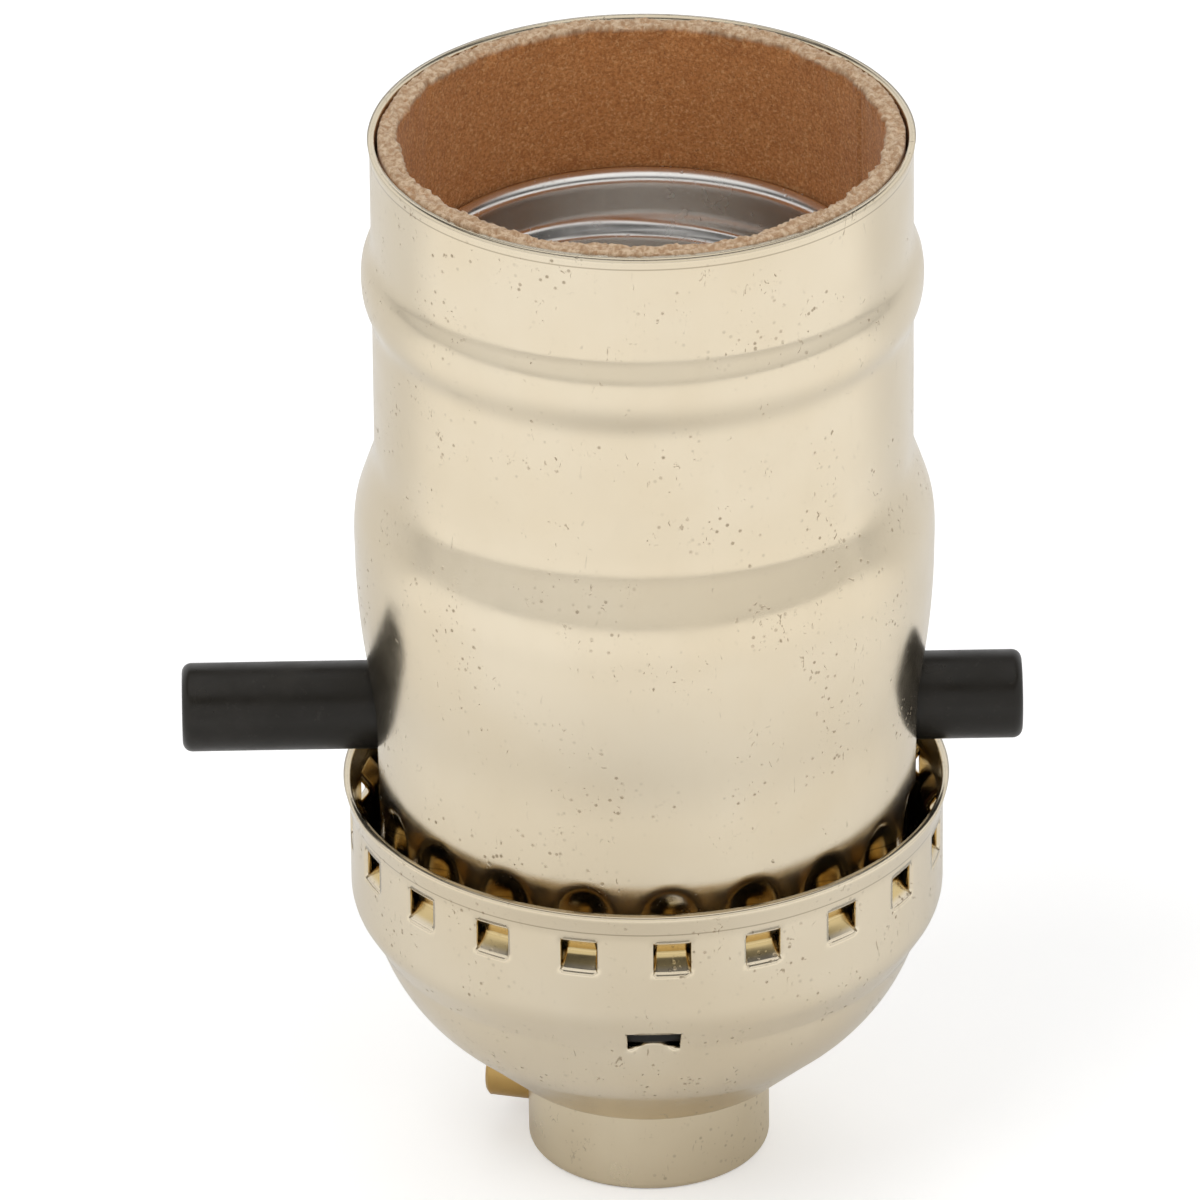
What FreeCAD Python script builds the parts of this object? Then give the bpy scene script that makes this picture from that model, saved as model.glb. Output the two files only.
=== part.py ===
import FreeCAD, Part
import math
import os
import re
import Sketcher

# Push-through lamp holder for a medium screw base lamp, drawn around its own axis.
# Z runs up the axis from the bottom face of the hub, X runs along the push bar.
# A name that ends in _r is a radius, one that ends in _z is a height above the hub's face.

SIZES = {
    # sheet metal and clearances
    "sheet": 0.4,
    "fit_gap": 0.1,
    "run_gap": 0.05,
    # thread for the lamp, which sets every radius outside it
    "thread_root_r": 13.6,
    "thread_pitch": 3.63,
    "thread_depth": 0.8,
    "groove_half": 1.2,
    "groove_floor_half": 0.5,
    "thread_wall": 0.35,
    "thread_crest_r": "=thread_root_r - thread_wall - thread_depth",
    "screw_flare": 0.7,
    "screw_rim_r": "=thread_root_r + screw_flare",
    "sleeve_gap": 0.5,
    "sleeve_wall": 1.25,
    "shell_r": "=screw_rim_r + sleeve_gap + sleeve_wall + fit_gap + sheet",
    "foot_out": 0.25,
    "shell_foot_r": "=shell_r + foot_out",
    "cap_gap": 1.22,
    "belt_r": "=shell_foot_r + cap_gap + sheet",
    # hub and set screw
    "hub_r": 7.55,
    "hub_edge": 0.5,
    "bore_r": 4.6,
    "bore_edge": 0.4,
    "neck_r": 6.3,
    "stake_r": 7.3,
    "stake_height": 0.7,
    "floor_z": 5.8,
    "setscrew_r": 1.73,
    "setscrew_length": 4.9,
    "setscrew_tip_r": 5.3,
    "setscrew_z": 3.3,
    "setscrew_angle": 165,
    "driver_slot": 0.6,
    "driver_depth": 0.8,
    "screw_edge": 0.2,
    # cap: bowl, ledge, belt and flared lip
    "bowl_floor_r": 8.2,
    "bowl_toe_r": 9.3,
    "bowl_toe_rise": 0.42,
    "bowl_toe_arc": 2.0,
    "bowl_flare": 4.05,
    "cone_top_rise": 3.7,
    "bowl_arc": 12.73,
    "crease_in": 1.47,
    "crease_r": "=belt_r - crease_in",
    "crease_z": 15.6,
    "ledge_in": 0.27,
    "ledge_rise": 1.95,
    "belt_arc": 2.6,
    "belt_rise": 3.1,
    "lip_out": 0.38,
    "lip_z": 25.9,
    "lip_height": 1.6,
    # lances pressed into the belt
    "lance_count": 20,
    "lance_turn": 3.6,
    "lance_width": 2.35,
    "lance_drop": 3.02,
    "lance_z": "=lip_z - lance_drop",
    "lance_half": 1.1,
    "lance_depth": 0.8,
    "lance_inset": 0.08,
    # slots in the ledge, with the lips pressed in below them
    "seat_width": 3.25,
    "seat_low_z": "=crease_z + run_gap",
    "seat_height": 1.65,
    "dimple_depth": 0.7,
    "dimple_height": 3.6,
    "dimple_foot_in": 1.75,
    "dimple_foot_width": 1.0,
    "dimple_foot_depth": 0.1,
    # outer shell: skirt, belly, neck, bead and rim
    "skirt_out": 0.43,
    "skirt_z": 31.0,
    "waist_arc": 22.0,
    "waist_out": 0.7,
    "waist_z": 34.6,
    "belly_arc": 49.7,
    "belly_out": 1.3,
    "belly_z": 42.3,
    "crest_arc": 14.0,
    "crest_out": 1.17,
    "crest_z": 45.3,
    "collar_foot_out": 0.23,
    "collar_foot_z": 48.0,
    "collar_foot_arc": 1.5,
    "shell_neck_z": 48.8,
    "bead_low_z": 58.4,
    "bead_low_arc": 3.45,
    "bead_out": 0.64,
    "bead_flat_low": 60.4,
    "bead_flat_high": 61.2,
    "bead_high_arc": 2.58,
    "bead_high_z": 62.9,
    "rim_out": 0.12,
    "rim_height": 0.7,
    # flutes round the foot of the shell
    "flute_width": 3.6,
    "flute_proud": 0.8,
    "flute_top_z": "=lip_z + flute_proud",
    "flute_depth": 1.0,
    # insulating sleeve
    "sleeve_start": 1.1,
    "sleeve_low_z": "=flute_top_z + sleeve_start",
    "sleeve_proud": 0.3,
    # push bar, its contact collar and the slots it passes through
    "bar_r": 2.75,
    "bar_length": 52.0,
    "bar_travel": 5.4,
    "bar_rise": 12.85,
    "bar_edge": 0.6,
    "bar_gap": 0.1,
    "slot_gap": 0.5,
    "contact_collar_length": 5.8,
    "contact_collar_wall": 0.4,
    "contact_collar_place": 3.8,
    "detent_depth": 0.5,
    # base plate and switch body
    "plate_r": "=shell_foot_r - sheet - fit_gap",
    "plate_height": 2.4,
    "bar_z": "=seat_low_z + plate_height + bar_rise",
    "wire_hole_r": 2.0,
    "wire_hole_y": 12.5,
    "body_out": 0.6,
    "body_r": "=thread_root_r + body_out",
    "body_rise": 4.85,
    "body_top_z": "=bar_z + bar_r + body_rise",
    "chamber_half_x": 7.4,
    "chamber_half_y": 4.2,
    "leaf_room": 2.35,
    "chamber_top_z": "=bar_z + bar_r + leaf_room",
    "bay_half": 6.0,
    "bay_y": 10.6,
    "rivet_r": 1.1,
    "rivet_place": 6.5,
    "rivet_head_r": 2.0,
    "rivet_head": 0.7,
    # terminals and their screws
    "terminal_sheet": 0.8,
    "terminal_half": 3.6,
    "terminal_drop": 6.3,
    "terminal_low_z": "=bar_z - terminal_drop",
    "terminal_rise": 2.6,
    "terminal_high_z": "=bar_z + terminal_rise",
    "strap_half": 2.2,
    "strap_end_y": 7.2,
    "clamp_drop": 2.5,
    "clamp_z": "=bar_z - clamp_drop",
    "clamp_r": 1.6,
    "clamp_length": 4.4,
    "clamp_head_r": 3.1,
    "clamp_head": 1.7,
    "clamp_hole_gap": 0.3,
    # switch leaves
    "leaf": 0.35,
    "line_leaf_x": 3.4,
    "line_leaf_width": 1.6,
    "line_leaf_drop": 0.5,
    "line_leaf_low_z": "=bar_z - line_leaf_drop",
    "line_leaf_rise": 4.05,
    "line_leaf_high_z": "=bar_z + line_leaf_rise",
    "lamp_leaf_width": 2.4,
    "lamp_leaf_half": 2.4,
    "detent_width": 3.0,
    "detent_x": 5.15,
    "detent_arc": 1.65,
    # screw shell, washer, centre contact
    "thread_start": 4.1,
    "thread_low_z": "=body_top_z + thread_start",
    "screw_height": 22.3,
    "screw_rim_z": "=body_top_z + screw_height",
    "thread_stop": 2.6,
    "thread_high_z": "=screw_rim_z - thread_stop",
    "mouth_depth": 9.2,
    "rim_z": "=screw_rim_z + mouth_depth",
    "screw_floor_arc": 1.9,
    "screw_hole_r": 4.6,
    "washer_r": 3.6,
    "washer_height": 0.9,
    "eyelet_r": 0.9,
    "eyelet_head_r": 1.5,
    "eyelet_head": 0.35,
    "tongue_width": 4.0,
    "tongue_sheet": 0.4,
    "tongue_half": 2.4,
    "tongue_arc": 0.9,
    "tongue_tip_rise": 0.7,
}

ABOUT_Z = FreeCAD.Vector(0, 0, 1)
UPRIGHT = FreeCAD.Rotation(FreeCAD.Vector(1, 0, 0), 90)
SIDEWAYS = FreeCAD.Rotation(FreeCAD.Vector(1, 1, 1), 120)
CELLS = {word: "Sizes." + word for word in SIZES}
PLATE_TOP = "(seat_low_z + plate_height)"
BAR_TOP = "(bar_z + bar_r)"

doc = FreeCAD.newDocument("lamp_holder")
sizes = doc.addObject("Spreadsheet::Sheet", "Sizes")
parts = []


def fill_sheet():
    for row, (word, value) in enumerate(SIZES.items(), 1):
        sizes.set("A%d" % row, word)
        sizes.set("B%d" % row, str(value))
        sizes.setAlias("B%d" % row, word)
    doc.recompute()


def cells(expression):
    """The expression with each size word written as its cell in the sheet."""
    return re.sub("[a-z_]+", lambda found: CELLS.get(found[0], found[0]), str(expression))


def number(expression):
    return float(sizes.evalExpression(cells(expression)))


def bind(item, setting, expression):
    item.setExpression(setting, cells(expression))


# ---- sketches -------------------------------------------------------------------------------


def hold_point(sketch, line, end, x, y):
    """Ties one end of a line or arc to a place that follows the sheet."""
    for kind, axis, expression in (("DistanceX", -2, x), ("DistanceY", -1, y)):
        if number(expression) == 0:
            sketch.addConstraint(Sketcher.Constraint("PointOnObject", line, end, axis))
            continue
        held = sketch.addConstraint(Sketcher.Constraint(kind, -1, 1, line, end, number(expression)))
        bind(sketch, "Constraints[%d]" % held, expression)


def arc_between(start, end, radius):
    """Short arc from start to end, its centre on the left where radius is positive."""
    chord = end - start
    middle = (start + end) * 0.5
    left = FreeCAD.Vector(-chord.y, chord.x, 0).normalize()
    rise = math.sqrt(max(radius ** 2 - (chord.Length / 2) ** 2, 0))
    bow = abs(radius) - rise
    return Part.Arc(start, middle - left * math.copysign(bow, radius), end)


def draw(sketch, corners, closed=True):
    """Outline through corners (x, y). A third entry is the radius of the arc to the next corner."""
    spots = [FreeCAD.Vector(number(corner[0]), number(corner[1]), 0) for corner in corners]
    count = len(corners) if closed else len(corners) - 1
    ends = []
    for index in range(count):
        start = spots[index]
        end = spots[(index + 1) % len(spots)]
        bent = len(corners[index]) > 2
        radius = number(corners[index][2]) if bent else 0
        edge = arc_between(start, end, radius) if bent else Part.LineSegment(start, end)
        line = sketch.addGeometry(edge, False)
        ends.append((line, 2, 1) if radius < 0 else (line, 1, 2))
        if bent:
            held = sketch.addConstraint(Sketcher.Constraint("Radius", line, abs(radius)))
            bind(sketch, "Constraints[%d]" % held, "abs(%s)" % corners[index][2])
    for index in range(count if closed else count - 1):
        line, _, last = ends[index]
        following, first, _ = ends[(index + 1) % count]
        sketch.addConstraint(Sketcher.Constraint("Coincident", line, last, following, first))
    for index in range(count):
        hold_point(sketch, ends[index][0], ends[index][1], corners[index][0], corners[index][1])
    if not closed:
        hold_point(sketch, ends[-1][0], ends[-1][2], corners[-1][0], corners[-1][1])
    return sketch


def box(sketch, low_x, low_y, high_x, high_y):
    return draw(sketch, [(low_x, low_y), (high_x, low_y), (high_x, high_y), (low_x, high_y)])


def circle(sketch, x, y, radius):
    centre = FreeCAD.Vector(number(x), number(y), 0)
    ring = sketch.addGeometry(Part.Circle(centre, ABOUT_Z, number(radius)), False)
    hold_point(sketch, ring, 3, x, y)
    held = sketch.addConstraint(Sketcher.Constraint("Radius", ring, number(radius)))
    bind(sketch, "Constraints[%d]" % held, radius)
    return sketch


def arch(sketch, half, low, top_centre):
    """Opening with straight sides and a round head."""
    corners = [
        ("-(%s)" % half, low),
        (half, low),
        (half, top_centre, half),
        (0, "%s + %s" % (top_centre, half), half),
        ("-(%s)" % half, top_centre),
    ]
    return draw(sketch, corners)


# ---- features of a body ---------------------------------------------------------------------


def new_body(label, blank=None):
    body = doc.addObject("PartDesign::Body", label)
    if blank:
        body.BaseFeature = blank
    parts.append(body)
    return body


def plane_of(body, role):
    return [feature for feature in body.Origin.OriginFeatures if feature.Role == role][0]


def sketch_on(body, role, up=0, right=0, out=0, turn=0):
    """Sketch on one of the body's own planes, shifted in the plane and along its normal.

    XZ_Plane faces -Y and YZ_Plane faces +X, both with Z upward; turn swings them about Z.
    """
    sketch = body.newObject("Sketcher::SketchObject", "Outline")
    sketch.AttachmentSupport = [(plane_of(body, role), "")]
    sketch.MapMode = "FlatFace"
    swung = FreeCAD.Rotation(FreeCAD.Vector(0, 1, 0), 1)
    sketch.AttachmentOffset = FreeCAD.Placement(FreeCAD.Vector(), swung)
    bind(sketch, ".AttachmentOffset.Rotation.Angle", turn)
    swing = "cos(%s)" % turn, "sin(%s)" % turn
    bind(sketch, ".AttachmentOffset.Base.x", "(%s) * %s + (%s) * %s" % (right, swing[0], out, swing[1]))
    bind(sketch, ".AttachmentOffset.Base.y", up)
    bind(sketch, ".AttachmentOffset.Base.z", "(%s) * %s - (%s) * %s" % (out, swing[0], right, swing[1]))
    return sketch


def extrude(body, kind, sketch, length, both=False, back=False):
    feature = body.newObject("PartDesign::" + kind, kind)
    feature.Profile = sketch
    bind(feature, "Length", length)
    feature.Midplane = both
    feature.Reversed = back
    body.Tip = feature
    doc.recompute()
    return feature


def pad(body, sketch, length, both=False, back=False):
    return extrude(body, "Pad", sketch, length, both, back)


def pocket(body, sketch, length, both=False, back=False):
    """Cuts against the sketch's normal, or along it where back is set."""
    before = body.Shape.Volume
    feature = extrude(body, "Pocket", sketch, length, both, back)
    if not body.Shape.Volume < before - 1e-6:
        raise RuntimeError("%s: %s cuts nothing" % (body.Label, feature.Name))
    return feature


def revolve(body, sketch, axis):
    """Turns a sketch round its own H_Axis or V_Axis."""
    feature = body.newObject("PartDesign::Revolution", "Revolution")
    feature.Profile = sketch
    feature.ReferenceAxis = (sketch, [axis])
    feature.Angle = 360
    body.Tip = feature
    doc.recompute()
    return feature


def loft(body, kind, sections):
    feature = body.newObject("PartDesign::" + kind, kind)
    feature.Profile = sections[0]
    feature.Sections = sections[1:]
    feature.Ruled = True
    body.Tip = feature
    doc.recompute()
    return feature


def around(body, features, count):
    """Repeats features round the Z axis."""
    pattern = body.newObject("PartDesign::PolarPattern", "Round")
    pattern.Originals = features
    pattern.Axis = (plane_of(body, "Z_Axis"), [""])
    pattern.Angle = 360
    bind(pattern, "Occurrences", count)
    body.Tip = pattern
    doc.recompute()
    return pattern


# ---- sheet metal from one line --------------------------------------------------------------


def sheet_section(label, rotation, corners, thickness):
    """Section of a sheet on the left of an open line (on the right where it is negative)."""
    line = doc.addObject("Sketcher::SketchObject", label + "_line")
    line.Placement = FreeCAD.Placement(FreeCAD.Vector(), rotation)
    draw(line, corners, closed=False)
    section = doc.addObject("Part::Offset2D", label + "_section")
    section.Source = line
    section.Mode = "Skin"
    section.Join = "Intersection"
    section.Fill = True
    bind(section, "Value", thickness)
    return section


def turned_sheet(label, corners, thickness):
    turned = doc.addObject("Part::Revolution", label + "_turned")
    turned.Source = sheet_section(label, UPRIGHT, corners, thickness)
    turned.Axis = ABOUT_Z
    turned.Base = FreeCAD.Vector()
    turned.Angle = 360
    turned.Solid = True
    doc.recompute()
    return turned


def folded_strip(label, rotation, corners, thickness, width, place=0):
    """Strip of sheet folded along a line, its width centred on place."""
    section = sheet_section(label, rotation, corners, thickness)
    strip = doc.addObject("Part::Extrusion", label + "_strip")
    strip.Base = section
    strip.DirMode = "Custom"
    strip.Dir = rotation.multVec(ABOUT_Z)
    strip.Solid = True
    bind(strip, "LengthFwd", "(%s) / 2 + (%s)" % (width, place))
    bind(strip, "LengthRev", "(%s) / 2 - (%s)" % (width, place))
    doc.recompute()
    return strip


def pierced(label, strip, radius):
    """The strip with a round hole on the Z axis for an eyelet."""
    drill = doc.addObject("Part::Cylinder", label + "_hole")
    bind(drill, "Radius", radius)
    bind(drill, "Height", "rim_z")
    cut = doc.addObject("Part::Cut", label)
    cut.Base = strip
    cut.Tool = drill
    parts.append(cut)
    doc.recompute()
    return cut


# ---- hub, set screw and cap -----------------------------------------------------------------


def make_hub():
    """Turned bushing; its neck passes through the cap and is staked over inside."""
    body = new_body("hub")
    corners = [
        ("bore_r + bore_edge", 0),
        ("hub_r - hub_edge", 0, "hub_edge"),
        ("hub_r", "hub_edge"),
        ("hub_r", "floor_z"),
        ("neck_r", "floor_z"),
        ("neck_r", "floor_z + sheet"),
        ("stake_r", "floor_z + sheet"),
        ("stake_r", "floor_z + sheet + stake_height"),
        ("bore_r", "floor_z + sheet + stake_height"),
        ("bore_r", "bore_edge"),
    ]
    revolve(body, draw(sketch_on(body, "XZ_Plane"), corners), "V_Axis")
    hole = sketch_on(body, "YZ_Plane", up="setscrew_z", turn="setscrew_angle")
    pocket(body, circle(hole, 0, 0, "setscrew_r + run_gap"), "hub_r + hub_edge", back=True)


def make_set_screw():
    """Slotted grub screw with a cone point, lying along a radius of the hub."""
    body = new_body("set_screw")
    end = "setscrew_tip_r + setscrew_length"
    corners = [
        ("setscrew_tip_r", 0),
        (end, 0),
        (end, "setscrew_r - screw_edge"),
        (end + " - screw_edge", "setscrew_r"),
        ("setscrew_tip_r + setscrew_r / 2", "setscrew_r"),
        ("setscrew_tip_r", "setscrew_r / 2"),
    ]
    side = sketch_on(body, "XZ_Plane", up="setscrew_z", turn="setscrew_angle")
    revolve(body, draw(side, corners), "H_Axis")
    face = sketch_on(body, "YZ_Plane", up="setscrew_z", out=end, turn="setscrew_angle")
    slot = box(face, "-driver_slot / 2", "-setscrew_r * 1.2", "driver_slot / 2", "setscrew_r * 1.2")
    pocket(body, slot, "driver_depth")


def cap_line():
    """Outer face of the cap from its centre hole to its lip."""
    return [
        ("neck_r", "floor_z"),
        ("bowl_floor_r", "floor_z", "bowl_toe_arc"),
        ("bowl_toe_r", "floor_z + bowl_toe_rise"),
        ("crease_r - bowl_flare", "floor_z + cone_top_rise", "bowl_arc"),
        ("crease_r", "crease_z"),
        ("belt_r - ledge_in", "crease_z + ledge_rise", "belt_arc"),
        ("belt_r", "crease_z + belt_rise"),
        ("belt_r", "lip_z - lip_height"),
        ("belt_r + lip_out", "lip_z"),
    ]


def dimple_section(body, height, radius, half, depth, thickness):
    """Cross-section of the pressed-in lip: flat outside the wall and bowed inside it."""
    sketch = sketch_on(body, "XY_Plane")
    bind(sketch, ".AttachmentOffset.Base.z", height)
    bind(sketch, ".AttachmentOffset.Base.y", 0)
    wall = "-((%s) - (%s))" % (radius, thickness)
    outside = "-((%s) + %s)" % (radius, "sheet / 4" if thickness == 0 else "-sheet / 2")
    bow = "((%s) ^ 2 + (%s) ^ 2) / (2 * (%s))" % (half, depth, depth)
    corners = [
        ("-(%s)" % half, outside),
        (half, outside),
        (half, wall, bow),
        ("-(%s)" % half, wall),
    ]
    return draw(sketch, corners)


def press_seats(body):
    """Front and back lips pressed in from the bowl below a slot in the ledge."""
    rim = ("seat_low_z", "crease_r")
    foot = ("crease_z - dimple_height", "crease_r - dimple_foot_in")
    inner = [
        dimple_section(body, *rim, "seat_width / 2 + sheet", "dimple_depth", "sheet"),
        dimple_section(body, *foot, "dimple_foot_width / 2 + sheet", "dimple_foot_depth", "sheet"),
    ]
    raised = loft(body, "AdditiveLoft", inner)
    outer = [
        dimple_section(body, *rim, "seat_width / 2", "dimple_depth", 0),
        dimple_section(body, *foot, "dimple_foot_width / 2", "dimple_foot_depth", 0),
    ]
    hollow = loft(body, "SubtractiveLoft", outer)
    around(body, [raised, hollow], 2)
    face = sketch_on(body, "XZ_Plane")
    slot = box(face, "-seat_width / 2", "seat_low_z", "seat_width / 2", "seat_low_z + seat_height")
    pocket(body, slot, "3 * belt_r", both=True)


def press_lances(body):
    """Ring of narrow strips slit at both sides and bowed inward out of the belt."""
    low = "lance_z - lance_half"
    high = "lance_z + lance_half"
    window = sketch_on(body, "XZ_Plane", turn="lance_turn")
    cut = pocket(body, box(window, "-lance_width / 2", low, "lance_width / 2", high), "2 * belt_r")
    around(body, [cut], "lance_count")
    face = "-(belt_r - lance_inset)"
    bow = "(lance_half ^ 2 + lance_depth ^ 2) / (2 * lance_depth)"
    spread = "sqrt((%s + sheet) ^ 2 - (%s - lance_depth) ^ 2)" % (bow, bow)
    corners = [
        (face, low, bow),
        (face, high),
        (face, "lance_z + " + spread, "-(%s + sheet)" % bow),
        (face, "lance_z - " + spread),
    ]
    side = sketch_on(body, "YZ_Plane", turn="lance_turn")
    strip = pad(body, draw(side, corners), "lance_width - run_gap", both=True)
    around(body, [strip], "lance_count")


def make_cap():
    body = new_body("cap", turned_sheet("cap", cap_line(), "sheet"))
    doc.recompute()
    press_seats(body)
    press_lances(body)


# ---- outer shell and insulating sleeve ------------------------------------------------------


def shell_line():
    """Outer face of the shell from its foot inside the cap to its rim."""
    return [
        ("shell_foot_r", PLATE_TOP + " + fit_gap"),
        ("shell_r + skirt_out", "skirt_z", "-waist_arc"),
        ("shell_r + waist_out", "waist_z", "belly_arc"),
        ("shell_r + belly_out", "belly_z", "crest_arc"),
        ("shell_r + crest_out", "crest_z"),
        ("shell_r + collar_foot_out", "collar_foot_z", "-collar_foot_arc"),
        ("shell_r", "shell_neck_z"),
        ("shell_r", "bead_low_z", "bead_low_arc"),
        ("shell_r + bead_out", "bead_flat_low"),
        ("shell_r + bead_out", "bead_flat_high", "bead_high_arc"),
        ("shell_r", "bead_high_z"),
        ("shell_r", "rim_z - rim_height"),
        ("shell_r + rim_out", "rim_z"),
    ]


def press_flutes(body):
    """Arched flutes pressed inward round the foot of the shell, in line with the lances."""
    low = PLATE_TOP + " + fit_gap"
    reach = "shell_foot_r - flute_depth - sheet"
    trough = sketch_on(body, "XZ_Plane", out=reach, turn="lance_turn")
    arch(trough, "flute_width / 2 + sheet", low, "flute_top_z - flute_width / 2")
    raised = pad(body, trough, "flute_depth + sheet / 2")
    around(body, [raised], "lance_count")
    channel = sketch_on(body, "XZ_Plane", out="shell_foot_r - flute_depth", turn="lance_turn")
    arch(channel, "flute_width / 2", low + " - sheet", "flute_top_z - flute_width / 2")
    cut = pocket(body, channel, "2 * flute_depth", back=True)
    around(body, [cut], "lance_count")


def cut_bar_slots(body, low):
    """Slots on both sides, open at the bottom, that slip over the push bar."""
    slot = arch(sketch_on(body, "YZ_Plane"), "bar_r + slot_gap", low, "bar_z")
    pocket(body, slot, "3 * belt_r", both=True)


def make_outer_shell():
    body = new_body("outer_shell", turned_sheet("outer_shell", shell_line(), "sheet"))
    doc.recompute()
    press_flutes(body)
    cut_bar_slots(body, PLATE_TOP)


def make_insulating_sleeve():
    """Paper tube pushed into the shell, its top edge a little proud of the rim."""
    body = new_body("insulating_sleeve")
    outer = "shell_r - sheet - fit_gap"
    wall = box(
        sketch_on(body, "XZ_Plane"),
        outer + " - sleeve_wall",
        "sleeve_low_z",
        outer,
        "rim_z + sleeve_proud",
    )
    revolve(body, wall, "V_Axis")
    cut_bar_slots(body, "sleeve_low_z - sheet")


# ---- base plate, switch body and rivets -----------------------------------------------------


def make_base_plate():
    """Moulded plate that rests on the cap's pressed lips and closes the switch chamber."""
    body = new_body("base_plate")
    edge = "screw_edge"
    corners = [
        (0, "seat_low_z"),
        ("plate_r - " + edge, "seat_low_z"),
        ("plate_r", "seat_low_z + " + edge),
        ("plate_r", PLATE_TOP),
        (0, PLATE_TOP),
    ]
    revolve(body, draw(sketch_on(body, "XZ_Plane"), corners), "V_Axis")
    holes = sketch_on(body, "XY_Plane")
    circle(holes, 0, "wire_hole_y", "wire_hole_r")
    circle(holes, 0, "-wire_hole_y", "wire_hole_r")
    circle(holes, "rivet_place", "rivet_place", "rivet_r")
    circle(holes, "-rivet_place", "-rivet_place", "rivet_r")
    pocket(body, holes, "rim_z", back=True)


def cut_chamber(body):
    """Switch chamber open to the base plate, with the tunnel for the bar across it."""
    floor = sketch_on(body, "XY_Plane", up=0)
    box(floor, "-chamber_half_x", "-chamber_half_y", "chamber_half_x", "chamber_half_y")
    pocket(body, floor, "chamber_top_z", back=True)
    tunnel = sketch_on(body, "YZ_Plane")
    pocket(body, circle(tunnel, 0, "bar_z", "bar_r + bar_gap"), "3 * body_r", both=True)


def cut_bays(body):
    """Flat bays front and back for the terminals, open at both ends for the wires."""
    for side in ("-", ""):
        bay = sketch_on(body, "XY_Plane")
        near = side + "bay_y"
        far = side + "(body_r + sheet)"
        box(bay, "-bay_half", near, "bay_half", far)
        pocket(body, bay, "rim_z", back=True)


def drill_body(body):
    upright = sketch_on(body, "XY_Plane")
    circle(upright, "rivet_place", "rivet_place", "rivet_r")
    circle(upright, "-rivet_place", "-rivet_place", "rivet_r")
    circle(upright, 0, 0, "eyelet_r")
    pocket(body, upright, "rim_z", back=True)
    for back in (False, True):
        out = "-bay_y" if back else "bay_y"
        hole = sketch_on(body, "XZ_Plane", out=out)
        circle(hole, 0, "clamp_z", "clamp_r + clamp_hole_gap")
        pocket(body, hole, "clamp_length + clamp_hole_gap - terminal_sheet", back=back)


def cut_leaf_ways(body):
    """Shallow seat and wall slot for the line leaf, and the seat of the neutral strap."""
    left = "-line_leaf_x - line_leaf_width / 2"
    right = "-line_leaf_x + line_leaf_width / 2"
    seat = sketch_on(body, "XZ_Plane", out="bay_y")
    pocket(body, box(seat, left, "line_leaf_low_z", right, "line_leaf_high_z + fit_gap"), "leaf")
    way = sketch_on(body, "XZ_Plane", out="bay_y")
    low = "line_leaf_high_z - leaf - fit_gap"
    pocket(body, box(way, left, low, right, "line_leaf_high_z + fit_gap"), "bay_y - chamber_half_y / 2")
    strap = sketch_on(body, "XY_Plane")
    bind(strap, ".AttachmentOffset.Base.z", "body_top_z - terminal_sheet")
    pocket(body, box(strap, "-strap_half", "strap_end_y", "strap_half", "body_r"), "body_r", back=True)


def make_switch_body():
    body = new_body("switch_body")
    blank = sketch_on(body, "XY_Plane")
    bind(blank, ".AttachmentOffset.Base.z", PLATE_TOP)
    pad(body, circle(blank, 0, 0, "body_r"), "body_top_z - %s" % PLATE_TOP)
    cut_chamber(body)
    cut_bays(body)
    drill_body(body)
    cut_leaf_ways(body)


def make_assembly_rivets():
    """Two long rivets that clamp the screw shell, the switch body and the base plate."""
    body = new_body("assembly_rivets")
    low = "seat_low_z"
    high = "body_top_z + thread_wall"
    corners = [
        (0, low + " - rivet_head"),
        ("rivet_head_r - screw_edge", low + " - rivet_head"),
        ("rivet_head_r", low + " - rivet_head + screw_edge"),
        ("rivet_head_r", low),
        ("rivet_r", low),
        ("rivet_r", high),
        ("rivet_head_r", high),
        ("rivet_head_r", high + " + rivet_head - screw_edge"),
        ("rivet_head_r - screw_edge", high + " + rivet_head"),
        (0, high + " + rivet_head"),
    ]
    side = sketch_on(body, "XZ_Plane", right="rivet_place", out="-rivet_place")
    around(body, [revolve(body, draw(side, corners), "V_Axis")], 2)


# ---- terminals ------------------------------------------------------------------------------


def terminal_plate(label, back):
    """Flat plate in one bay with a tapped hole for its screw."""
    body = new_body(label)
    out = "-bay_y" if back else "bay_y"
    face = sketch_on(body, "XZ_Plane", out=out)
    box(face, "-terminal_half", "terminal_low_z", "terminal_half", "terminal_high_z")
    circle(face, 0, "clamp_z", "clamp_r + run_gap")
    pad(body, face, "terminal_sheet", back=back)
    return body


def make_neutral_terminal():
    """The back terminal carries on as a strap folded over under the screw shell."""
    body = terminal_plate("neutral_terminal", True)
    strap = sketch_on(body, "XZ_Plane", out="-bay_y")
    box(strap, "-strap_half", "terminal_high_z", "strap_half", "body_top_z")
    pad(body, strap, "terminal_sheet", back=True)
    tab = sketch_on(body, "XZ_Plane", out="-bay_y")
    box(tab, "-strap_half", "body_top_z - terminal_sheet", "strap_half", "body_top_z")
    pad(body, tab, "bay_y - strap_end_y")


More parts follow.
